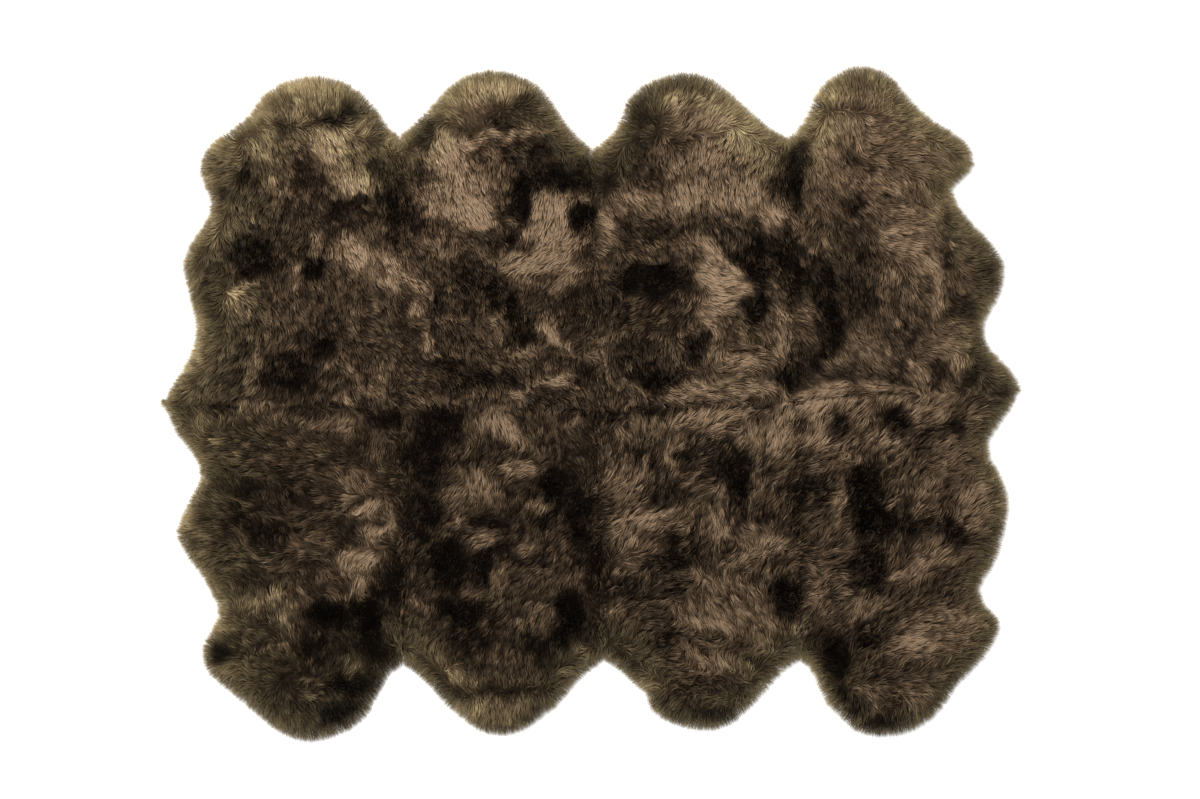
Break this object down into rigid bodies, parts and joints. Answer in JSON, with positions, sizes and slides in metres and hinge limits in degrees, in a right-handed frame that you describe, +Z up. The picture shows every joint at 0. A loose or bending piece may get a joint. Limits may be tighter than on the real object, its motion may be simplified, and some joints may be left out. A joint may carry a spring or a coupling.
{
  "type": "sheepskin rug",
  "caption": "Large flat rug of dark brown sheepskins sewn edge to edge in two rows, with thick lumpy wool, a wavy pelt outline and wool locks at the free edges.",
  "frame": {"origin": "on the floor, under the middle of the rug's outline", "axes": "+X along the rug's length, +Y across it towards the upper row of pelts, +Z up out of the wool"},
  "size_m": [2.3892, 1.8754, 0.0541],
  "materials": {
    "wool": "long soft wool with a silky lustre, dark brown with taupe tips",
    "hide": "matt suede of the tanned skin on the underside"
  },
  "bodies": {
    "root": {"pelt_upper_1": "wool", "pelt_upper_2": "wool", "pelt_upper_3": "wool", "pelt_upper_4": "wool", "pelt_lower_1": "wool", "pelt_lower_2": "wool", "pelt_lower_3": "wool", "pelt_lower_4": "wool"}
  },
  "joints": []
}
